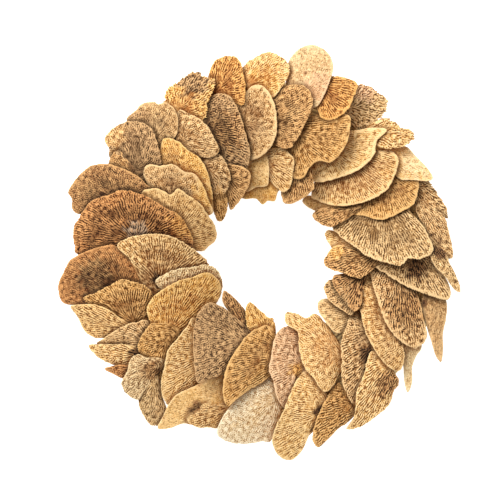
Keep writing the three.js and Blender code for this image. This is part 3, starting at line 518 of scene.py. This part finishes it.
def capSurface(cap, raised, lift):
    # Closed shell over two parameters, the share of the way round the outline and the share v from
    # the root to the rim. Its height is the middle surface plus or minus half the thickness,
    # rounded at the rim, with the gills cut into the face.
    rx, ry = cap["root"]
    ends = np.append(cap["share"], 1.0)
    weight = np.where(cap["front"], 1.0, detail["backWeight"])
    run = np.concatenate([[0], np.cumsum(weight * np.diff(ends))])
    columns = 2 * int(cap["length"] * run[-1] / detail["columnPitch"] / 2)
    share = np.interp(np.arange(columns) / columns * run[-1], run, ends)
    ex, ey, t, front = along(cap, share, *cap["outline"].T, cap["turnShare"], cap["front"].astype(float))
    full = np.hypot(ex - rx, ey - ry)
    ux, uy = (ex - rx) / full, (ey - ry) / full
    lobes = 1 - np.tanh(fieldOf(cap, "lobes", ex, ey))
    notches = cap["frill"] * (0.5 - 0.5 * gillField(cap, ex, ey, 0 * ex) + form["lobes"] * lobes)
    notches = notches + cap["frill"] * form["fray"] * np.abs(fieldOf(cap, "fray", ex, ey))
    reach = np.maximum(full - notches * front, form["leastReach"])

    # Rows, each with its v, its side of the shell, and whether it has every column or every second.
    split, least = detail["split"], detail["leastShare"]
    deep = np.percentile(reach, detail["deepPercent"])
    innerRings = max(detail["fewestInner"], int(deep * split / detail["innerPitch"]))
    outerRings = max(detail["fewestOuter"], int(deep * (1 - split) / detail["ringPitch"]))
    last = np.maximum(1 - (detail["rimInsets"][0] + detail["ringPitch"]) / reach, least)
    rows = [(np.full(columns, v), 1, 2) for v in np.linspace(0, split, innerRings + 1)[1:]]
    rows += [(split + (last - split) * v, 1, 1) for v in np.linspace(0, 1, outerRings + 1)[1:]]
    rows += [(np.maximum(1 - d / reach, detail["leastInset"]), 1, 1) for d in detail["rimInsets"]]
    rows += [(np.ones(columns), 0, 1)]
    rows += [(np.maximum(1 - d / reach, least), -1, 2) for d in detail["underInsets"]]
    rows += [(np.full(columns, v), -1, 2) for v in detail["underShares"]]
    pick = [np.arange(0, columns, every) for _, _, every in rows]
    v = np.concatenate([row[p] for (row, _, _), p in zip(rows, pick)])
    side = np.concatenate([np.full(len(p), s) for (_, s, _), p in zip(rows, pick)])
    column = np.concatenate(pick)
    out = v * reach[column]
    x, y = rx + out * ux[column], ry + out * uy[column]

    rim = np.column_stack([rx + reach * ux, ry + reach * uy])[front > 0.5][::form["rimStep"]]
    place = np.column_stack([x, y])
    toRim = nearest(place, rim)
    toEdge = (1 - v) * reach[column]
    rounding = np.sqrt(np.clip(1 - (1 - np.clip(toEdge / form["rimRound"], 0, 1)) ** 2, 0, 1))
    bare = cap["margin"] * (1 + form["bareSway"] * fieldOf(cap, "bareWidth", x, y))
    bareOver = np.maximum(form["bareOver"] * bare, form["bareEdge"])
    margin = 1 - smooth((toRim - form["bareFrom"] * bare) / bareOver)
    face = (side > 0) * (1 - form["bareFlat"] * margin)
    face = face * smooth((v - form["gillsFrom"]) / form["gillsOver"])
    gills = gillField(cap, x, y, toRim)
    uneven = form["swell"] * fieldOf(cap, "swell", x, y) + form["bumps"] * fieldOf(cap, "bumps", x, y)
    uneven = np.clip(cap["swell"] * uneven, *form["unevenLimits"])
    z = capHeight(cap, x, y, v, t[column]) + raised + lift + side * halfThickness(v) * rounding
    z += (side > 0) * form["uneven"] * uneven * smooth(toEdge / form["unevenEdge"])
    z += face * cap["depth"] * 0.5 * (gills - form["gillSink"])

    rootZ = capHeight(cap, rx, ry, 0.0, 0.0) + raised + lift
    poles = [[rx, ry, rootZ + halfThickness(0.0)], [rx, ry, rootZ - halfThickness(0.0)]]
    heartUneven = 1 + form["heartSway"] * fieldOf(cap, "heart", x, y)
    values = {
        "relief": face * gills * cap["shade"],
        "margin": margin * (side >= 0),
        "heart": cap["heart"] * smooth((toRim - form["heartFrom"]) / form["heartOver"]) * heartUneven,
        "under": (side < 0) * 1.0,
        "inward": toRim,
        "crevice": creviceShadeShare(cap, place) * (side >= 0),
        "patch": spotShare(cap, cap["patch"], x, y),
        "cut": spotShare(cap, cap["cut"], x, y) * (side > 0),
    }
    values = {name: np.append(value, [0.0, 0.0]) for name, value in values.items()}
    values["heart"][-2:] = cap["heart"]
    values["under"][-1] = 1
    values["inward"][-2:] = np.hypot(*(rim - cap["root"]).T).min()
    quads, triangles = stitched([len(p) for p in pick])
    points = np.vstack([np.column_stack([place, z]), poles])
    return {"points": points, "quads": quads, "triangles": triangles, "values": values}


def meshFrom(name, parts, materials):
    # One mesh from parts of points in mm, quads, triangles, point values and, where there is one, uv.
    mesh = bpy.data.meshes.new(name)
    starts = np.cumsum([0] + [len(part["points"]) for part in parts])
    blocks = [(part[kind] + start, slot) for kind in ("quads", "triangles")
              for slot, (part, start) in enumerate(zip(parts, starts)) if len(part[kind])]
    sizes = np.concatenate([np.full(len(block), block.shape[1]) for block, _ in blocks])
    corners = np.concatenate([block.ravel() for block, _ in blocks])
    slots = np.concatenate([np.full(len(block), slot) for block, slot in blocks])
    placed = np.vstack([part["points"] for part in parts]) * mm
    placed[:, :2] += ringCentre.x * mm, ringCentre.y * mm
    placed = np.clip(placed, *cadBox)
    mesh.vertices.add(len(placed))
    mesh.vertices.foreach_set("co", placed.ravel())
    mesh.loops.add(len(corners))
    mesh.loops.foreach_set("vertex_index", corners.astype(np.int32))
    mesh.polygons.add(len(sizes))
    loopStarts = np.concatenate([[0], np.cumsum(sizes)[:-1]])
    slots = np.minimum(slots, len(materials) - 1)
    for key, value in (("loop_start", loopStarts), ("loop_total", sizes), ("material_index", slots)):
        mesh.polygons.foreach_set(key, value.astype(np.int32))
    mesh.polygons.foreach_set("use_smooth", np.ones(len(sizes), bool))
    for key in parts[0]["values"]:
        field = mesh.attributes.new(key, "FLOAT", "POINT")
        value = np.concatenate([part["values"][key] for part in parts])
        field.data.foreach_set("value", value.astype(np.float32))
    if "uv" in parts[0]:
        layer = mesh.uv_layers.new(name="fibre")
        uv = np.vstack([part["uv"] for part in parts])[corners]
        layer.data.foreach_set("uv", uv.astype(np.float32).ravel())
    mesh.update()
    for material in materials:
        mesh.materials.append(material)
    piece = bpy.data.objects.new(name, mesh)
    bpy.context.collection.objects.link(piece)
    return piece, int((sizes - 2).sum())


def addNode(tree, kind, settings, output=0):
    # Adds a node, sets its properties and sockets, links a socket that is given another node's
    # output, and gives one of its own outputs.
    node = tree.nodes.new("ShaderNode" + kind)
    for key, value in settings.items():
        if not key.isdigit() and hasattr(node, key):
            setattr(node, key, value)
            continue
        socket = node.inputs[int(key) if key.isdigit() else key]
        if isinstance(value, bpy.types.NodeSocket):
            tree.links.new(value, socket)
        else:
            socket.default_value = value
    return node.outputs[output]


mixedColour = 2  # a Mix node's colour output; its colours go in at 6 and 7


def newMaterial(name, shared):
    # A material with what is the same all over it on the shader's own sockets.
    material = bpy.data.materials.new(name)
    material.use_nodes = True
    shader = material.node_tree.nodes["Principled BSDF"]
    for socket, value in shared.items():
        shader.inputs[socket].default_value = value
    return material, material.node_tree, shader


def dressed(tree, shader, look, colour, height):
    # The shader with its colour, and with the bump of a height.
    bump = addNode(tree, "Bump", {
        "Height": height, "Strength": look["bumpStrength"], "Distance": look["bumpDepth"] * mm})
    tree.links.new(colour, shader.inputs["Base Color"])
    tree.links.new(bump, shader.inputs["Normal"])


# Bracket fungus flesh, dried in air: corky and matt, with no gloss at all. The tips of the gills are
# pale, partly bleached and partly a painted highlight; the grooves are brown and carry painted shade;
# the flesh near the root is darker, partly older and partly painted shade; the crevices beside rims
# of caps laid over this one take painted shade; and the sterile rim dries palest. The back was the upper
# side on the tree: downy and weathered, in zones that follow the rim. Each noise has its size in mm
# and its octaves, and each share is how far its mask goes over to its colour, below 0 for the pits
# because they lie below the face.
gillFlesh = {
    "shader": {"Roughness": 0.9, "Specular IOR Level": 0.2, "IOR": 1.48},
    "noises": {"blotch": (16.0, 3.0), "stain": (11.0, 3.0), "grain": (1.6, 2.0), "speck": (1.0, 2.0)},
    "noiseRoughness": 0.6,
    "shares": {"tip": 1.0, "pit": -0.95, "heart": 0.95, "crevice": 0.7, "margin": 0.8, "cut": 0.7},
    "stain": {"From Min": 0.52, "From Max": 0.7, "To Max": 0.5},
    "blotch": {"From Min": 0.4, "From Max": 0.66, "To Max": 0.4},
    "speck": {"From Min": 0.3, "From Max": 0.7, "To Min": 0.82, "To Max": 1.14},
    "grainShare": 3.8, "marginGrain": 0.7, "heartDimsTips": 0.6,
    "zonePitch": 5.5, "zoneWander": 8.0, "zoneShare": 0.5, "bumpDepth": 0.45, "bumpStrength": 0.75,
}


def dryGillFlesh(name, look, second):
    material, tree, shader = newMaterial(name, gillFlesh["shader"])
    place = addNode(tree, "TexCoord", {}, "Object")
    masks = {key: addNode(tree, "Attribute", {"attribute_name": key}, "Fac")
             for key in ("relief", "margin", "heart", "under", "inward", "crevice", "patch", "cut")}
    noises = {}
    for key, (size, octaves) in gillFlesh["noises"].items():
        noises[key] = addNode(tree, "TexNoise", {"Vector": place, "Scale": 1 / (size * mm), "Detail": octaves,
                                                 "Roughness": gillFlesh["noiseRoughness"]})

    # Relief is the gills plus a grain too fine to model, weaker on the bare margin. Where the heart
    # mask darkens the flesh near the root, the pale tips and their painted highlight are weaker too.
    grain = gillFlesh["grainShare"]
    swing, bare, tipsUnderHeart = (
        addNode(tree, "Math", {"operation": "MULTIPLY_ADD", "0": source, "1": factor, "2": start})
        for source, factor, start in ((noises["grain"], grain, -0.5 * grain),
                                      (masks["margin"], -gillFlesh["marginGrain"], 1.0),
                                      (masks["heart"], -gillFlesh["heartDimsTips"], 1.0)))
    relief = addNode(tree, "Math", {"operation": "MULTIPLY_ADD", "0": swing, "1": bare, "2": masks["relief"]})
    tipsBleachAndHighlight = addNode(tree, "Math", {"operation": "MULTIPLY", "0": relief, "1": tipsUnderHeart})
    sources = {**masks, "tip": tipsBleachAndHighlight, "pit": relief}
    shares = {"under": masks["under"]}
    for key, factor in gillFlesh["shares"].items():
        shares[key] = addNode(tree, "Math", {
            "operation": "MULTIPLY", "use_clamp": True, "0": sources[key], "1": factor})
    for key in ("stain", "blotch", "speck"):
        shares[key] = addNode(tree, "MapRange", {"Value": noises[key], **gillFlesh[key]})

    part = {"torn": linear(torn)}
    for key, own, patched in zip(toneParts, look, second):
        ends = {"data_type": "RGBA", "0": masks["patch"], "6": linear(own), "7": linear(patched)}
        part[key] = addNode(tree, "Mix", ends, mixedColour)
    # Zones of the back: a sine of the distance to the rim, which a slow noise carries to and fro.
    wander = {"operation": "MULTIPLY", "0": noises["blotch"], "1": gillFlesh["zoneWander"]}
    waves = {"operation": "MULTIPLY_ADD", "0": masks["inward"], "1": 2 * math.pi / gillFlesh["zonePitch"],
             "2": addNode(tree, "Math", wander)}
    wave = addNode(tree, "Math", {"operation": "SINE", "0": addNode(tree, "Math", waves)})
    zone = addNode(tree, "MapRange", {"Value": wave, "From Min": -1.0, "To Max": gillFlesh["zoneShare"]})
    ends = {"data_type": "RGBA", "0": zone, "6": part["heart"], "7": part["edge"]}
    part["back"] = addNode(tree, "Mix", ends, mixedColour)

    # Colours from the face up: the darker heart, partly older flesh and partly painted shade, faded and
    # stained areas, torn pith, pale tips with a painted highlight, pale margin, pits with painted shade,
    # and painted shade in the crevices between caps.
    colour = part["face"]
    for key, over in (("heart", "heart"), ("blotch", "edge"), ("stain", "heart"), ("cut", "torn"),
                      ("tip", "edge"), ("margin", "edge"), ("pit", "deep"), ("crevice", "deep"),
                      ("under", "back")):
        layer = {"data_type": "RGBA", "0": shares[key], "6": colour, "7": part[over]}
        colour = addNode(tree, "Mix", layer, mixedColour)
    specks = {"data_type": "RGBA", "blend_type": "MULTIPLY", "0": 1.0, "6": colour, "7": shares["speck"]}
    dressed(tree, shader, gillFlesh, addNode(tree, "Mix", specks, mixedColour), noises["grain"])
    return material


flesh = {}


def fleshFor(cap):
    # One material for each tone, or for each pair of tones on a patched cap.
    tone, second = cap["tone"], cap["patch"][0] if cap["patch"] else cap["tone"]
    if (tone, second) not in flesh:
        label = tone if second == tone else f"{tone} going {second}"
        looks = tones[tone].split(), tones[second].split()
        flesh[tone, second] = dryGillFlesh(f"bracket fungus, air-dried, {label}", *looks)
    return flesh[tone, second]


sinkStep = 1.0  # mm between tops of caps that grew together
caps = [settled(row, number) for number, row in enumerate(capRows)]
triangleCount = 0
for node in dict.fromkeys(cap["node"] for cap in caps):
    grown = [cap for cap in caps if cap["node"] == node]
    for cap in grown:
        cap["turned"] = grown[0]["turned"]
    raises = [i * shingle["grownTogetherStep"] for i in range(len(grown))]
    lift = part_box(node)[1].z / mm - max(solidTop(cap, up) for cap, up in zip(grown, raises))
    parts = [capSurface(cap, up - sinkStep * (len(grown) - 1 - i), lift)
             for i, (cap, up) in enumerate(zip(grown, raises))]
    piece, count = meshFrom(f"dried_{node}", parts, [fleshFor(cap) for cap in grown])
    triangleCount += count
    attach(piece, "root")
    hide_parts(node)
print("caps", len(caps), "materials", len(flesh), "triangles", triangleCount)


# Straw hoop: wheat straw packed into a hoop and bound, so it shows long stems lying round it. In mm;
# waves and what follows up to the seed are the ripples that make the strands.
hoop = {
    "halfWidth": 36.0, "sideBulge": 2.5, "flatInset": 7.0, "sideHeight": 13.0, "topPoints": 8,
    "turns": 240, "points": 200, "strandDepth": 1.2, "bindings": 22, "pinch": 1.4, "pinchWidth": 3.2,
    "waves": 30, "across": (34, 62), "around": (-16, 17), "phase": (0, 6.28), "strength": (0.5, 1),
    "waveSpread": 2.6, "seed": 11,
    # The dark colour is painted shade for the valleys between strands.
    "face": "#c9a561", "gapShade": "#6d4f27", "pale": "#e0c88d", "stemWidth": 2.2, "stemLength": 40.0,
}
# Twine, laid in loops round the hoop, each of which leans by a small sway in radians.
twine = {
    "radius": 0.9, "sides": 6, "points": 64, "sway": 0.025,
    "face": "#8d7350", "gapShade": "#5f4b31", "pale": hoop["face"], "stemWidth": 0.5, "stemLength": 1.2,
}


def hoopSection(count):
    # The hoop's section, flat back, bulging sides and the bed's curve, as points evenly spaced along
    # it, with the outward normal at each and its whole length.
    inner, outer = bed["ringRadius"] - hoop["halfWidth"], bed["ringRadius"] + hoop["halfWidth"]
    corners = [(inner + hoop["flatInset"], 0.0), (outer - hoop["flatInset"], 0.0),
               (outer + hoop["sideBulge"], hoop["sideHeight"])]
    for i in range(hoop["topPoints"] + 1):
        radius = outer - 2 * hoop["halfWidth"] * i / hoop["topPoints"]
        corners.append((radius, bedHeight(radius)))
    corners.append((inner - hoop["sideBulge"], hoop["sideHeight"]))
    corners = np.array(corners + corners[:1])
    run = np.concatenate([[0], np.cumsum(np.hypot(*np.diff(corners, axis=0).T))])
    place = np.arange(count) / count * run[-1]
    section = np.column_stack([np.interp(place, run, corners[:, 0]), np.interp(place, run, corners[:, 1])])
    tangent = np.roll(section, -1, 0) - np.roll(section, 1, 0)
    tangent /= np.hypot(*tangent.T)[:, None]
    return section, np.column_stack([tangent[:, 1], -tangent[:, 0]]), run[-1]


def wovenGrid(x, y, z, u, v, valley, order):
    # A grid that closes both ways, kept above the flat back, with its faces' corners in the order
    # that points them outwards and its uv in metres.
    at = np.arange(x.size).reshape(x.shape)
    ahead = np.roll(at, -1, 0)
    quads = np.stack([at, ahead, np.roll(ahead, -1, 1), np.roll(at, -1, 1)], -1).reshape(-1, 4)
    return {"points": np.stack([x, y, np.maximum(z, 0)], -1).reshape(-1, 3), "quads": quads[:, order],
            "triangles": np.zeros((0, 3), int), "values": {"valley": valley.ravel()},
            "uv": np.stack(np.broadcast_arrays(u * mm, v * mm), -1).reshape(-1, 2)}


def strawHoop():
    # Turning the section round the axis, pressed in by the strands' valleys and under each binding.
    section, normal, girth = hoopSection(hoop["points"])
    turn = np.arange(hoop["turns"]) / hoop["turns"] * 2 * np.pi
    theta, share = np.meshgrid(turn, np.arange(hoop["points"]) / hoop["points"], indexing="ij")
    rng = np.random.default_rng(hoop["seed"])
    waves = zip(rng.integers(*hoop["across"], hoop["waves"]), rng.integers(*hoop["around"], hoop["waves"]),
                rng.uniform(*hoop["phase"], hoop["waves"]), rng.uniform(*hoop["strength"], hoop["waves"]))
    strands = sum(a * np.cos(2 * np.pi * n * share + m * theta + p) for n, m, p, a in waves)
    valley = 0.5 - 0.5 * np.tanh(strands / hoop["waveSpread"])
    binding = hoop["bindings"] * theta / (2 * np.pi)
    toBinding = np.abs(binding - np.round(binding)) * 2 * np.pi * bed["ringRadius"] / hoop["bindings"]
    depth = hoop["strandDepth"] * valley + hoop["pinch"] * np.exp(-(toBinding / hoop["pinchWidth"]) ** 2)
    r = section[None, :, 0] - depth * normal[None, :, 0]
    z = section[None, :, 1] - depth * normal[None, :, 1]
    return wovenGrid(r * np.cos(theta), r * np.sin(theta), z, theta * bed["ringRadius"], share * girth,
                     valley, [0, 1, 2, 3])


def bindingTwine():
    # Loops of round twine: each follows the section just under its outline at one turn of the hoop.
    section, normal, girth = hoopSection(twine["points"])
    parts = []
    ring = np.arange(twine["sides"]) / twine["sides"] * 2 * np.pi
    share = np.arange(twine["points"]) / twine["points"]
    for loop in range(hoop["bindings"]):
        angle = 2 * np.pi * loop / hoop["bindings"] + twine["sway"] * np.sin(share * 2 * np.pi)[:, None]
        depth = hoop["pinch"] - twine["radius"] * np.cos(ring)[None, :]
        lateral = twine["radius"] * np.sin(ring)[None, :]
        r = section[:, :1] - depth * normal[:, :1]
        z = section[:, 1:] - depth * normal[:, 1:]
        x = r * np.cos(angle) - lateral * np.sin(angle)
        y = r * np.sin(angle) + lateral * np.cos(angle)
        parts.append(wovenGrid(x, y, z, share[:, None] * girth, ring[None], np.zeros_like(x), [0, 3, 2, 1]))
    return parts


# Cereal straw, cut and dried, and jute: waxy stems, so a soft shine along them, and painted shade
# in the gaps between strands.
stemFinish = {
    "shader": {"Roughness": 0.55, "IOR": 1.5}, "bumpDepth": 0.5, "bumpStrength": 0.6,
    "noise": {"Scale": 1.0, "Detail": 3.0, "Roughness": 0.55},
    "bleach": {"From Min": 0.35, "From Max": 0.65},
}


def stemStraw(name, look):
    material, tree, shader = newMaterial(name, stemFinish["shader"])
    scale = (1 / (look["stemLength"] * mm), 1 / (look["stemWidth"] * mm), 1.0)
    uv = addNode(tree, "UVMap", {"uv_map": "fibre"})
    stretched = addNode(tree, "Mapping", {"Vector": uv, "Scale": scale})
    stems = addNode(tree, "TexNoise", {"Vector": stretched, **stemFinish["noise"]})
    valley = addNode(tree, "Attribute", {"attribute_name": "valley"}, "Fac")
    bleached = addNode(tree, "MapRange", {"Value": stems, **stemFinish["bleach"]})
    ends = {"data_type": "RGBA", "0": bleached, "6": linear(look["face"]), "7": linear(look["pale"])}
    # Painted shade: the valleys between strands go over to the darker colour.
    gaps = {"data_type": "RGBA", "0": valley, "6": addNode(tree, "Mix", ends, mixedColour),
            "7": linear(look["gapShade"])}
    dressed(tree, shader, stemFinish, addNode(tree, "Mix", gaps, mixedColour), stems)
    return material


strawMaterial = stemStraw("cereal straw, dried and bound", hoop)
twineMaterial = stemStraw("jute twine, twisted", twine)
piece, hoopCount = meshFrom("bound_straw_hoop", [strawHoop()], [strawMaterial])
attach(piece, "root")
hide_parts("straw_ring")
loops = bindingTwine()
piece, twineCount = meshFrom("binding_twine", loops, [twineMaterial])
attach(piece, "root")
print("hoop, bindings", len(loops), "triangles in all", triangleCount + hoopCount + twineCount)


# Studio: pale floor, a large soft key from the upper left, and an even pale surround. In metres, but
# the lens and the middle of the view in mm.
studio = {
    "floor": "#f6f6f4", "floorGlow": 0.85, "floorRoughness": 0.9, "floorSize": 8.0, "floorDrop": 0.001,
    "surround": 0.65, "lens": 300.0, "distance": 3.68, "middle": (-13.9, 5.2), "farthest": 50,
}
lamps = {
    "key": {"place": (-1.5, 2.0, 3.3), "power": 190.0, "size": 2.4},
    "fill": {"place": (1.2, -0.9, 1.3), "power": 5.0, "size": 1.4},
}
bpy.ops.mesh.primitive_plane_add(size=studio["floorSize"], location=(0, 0, -studio["floorDrop"]))
floor = bpy.context.object
floor.name = "studio_floor"
floor.data.materials.append(newMaterial("backdrop paper, matt white", {
    "Base Color": linear(studio["floor"]), "Roughness": studio["floorRoughness"],
    "Emission Color": linear(studio["floor"]), "Emission Strength": studio["floorGlow"]})[0])

for label, row in lamps.items():
    lamp = bpy.data.lights.new(label, "AREA")
    lamp.energy, lamp.size, lamp.shape = row["power"], row["size"], "DISK"
    holder = bpy.data.objects.new(label, lamp)
    holder.location = row["place"]
    holder.rotation_euler = (-Vector(row["place"])).to_track_quat("-Z", "Y").to_euler()
    bpy.context.collection.objects.link(holder)

world = bpy.data.worlds.new("pale surround")
world.use_nodes = True
world.node_tree.nodes["Background"].inputs["Color"].default_value = (1, 1, 1, 1)
world.node_tree.nodes["Background"].inputs["Strength"].default_value = studio["surround"]
bpy.context.scene.world = world
bpy.context.scene.view_settings.view_transform = "Standard"
print("studio, lamps", len(lamps))

# The photograph looks straight at the wreath's face, with its top up.
camera = bpy.data.objects.new("camera", bpy.data.cameras.new("camera"))
camera.data.lens = studio["lens"]
camera.data.clip_end = studio["farthest"]
aside, up = studio["middle"]
camera.location = ((ringCentre.x + aside) * mm, (ringCentre.y + up) * mm, studio["distance"])
bpy.context.collection.objects.link(camera)
bpy.context.scene.camera = camera
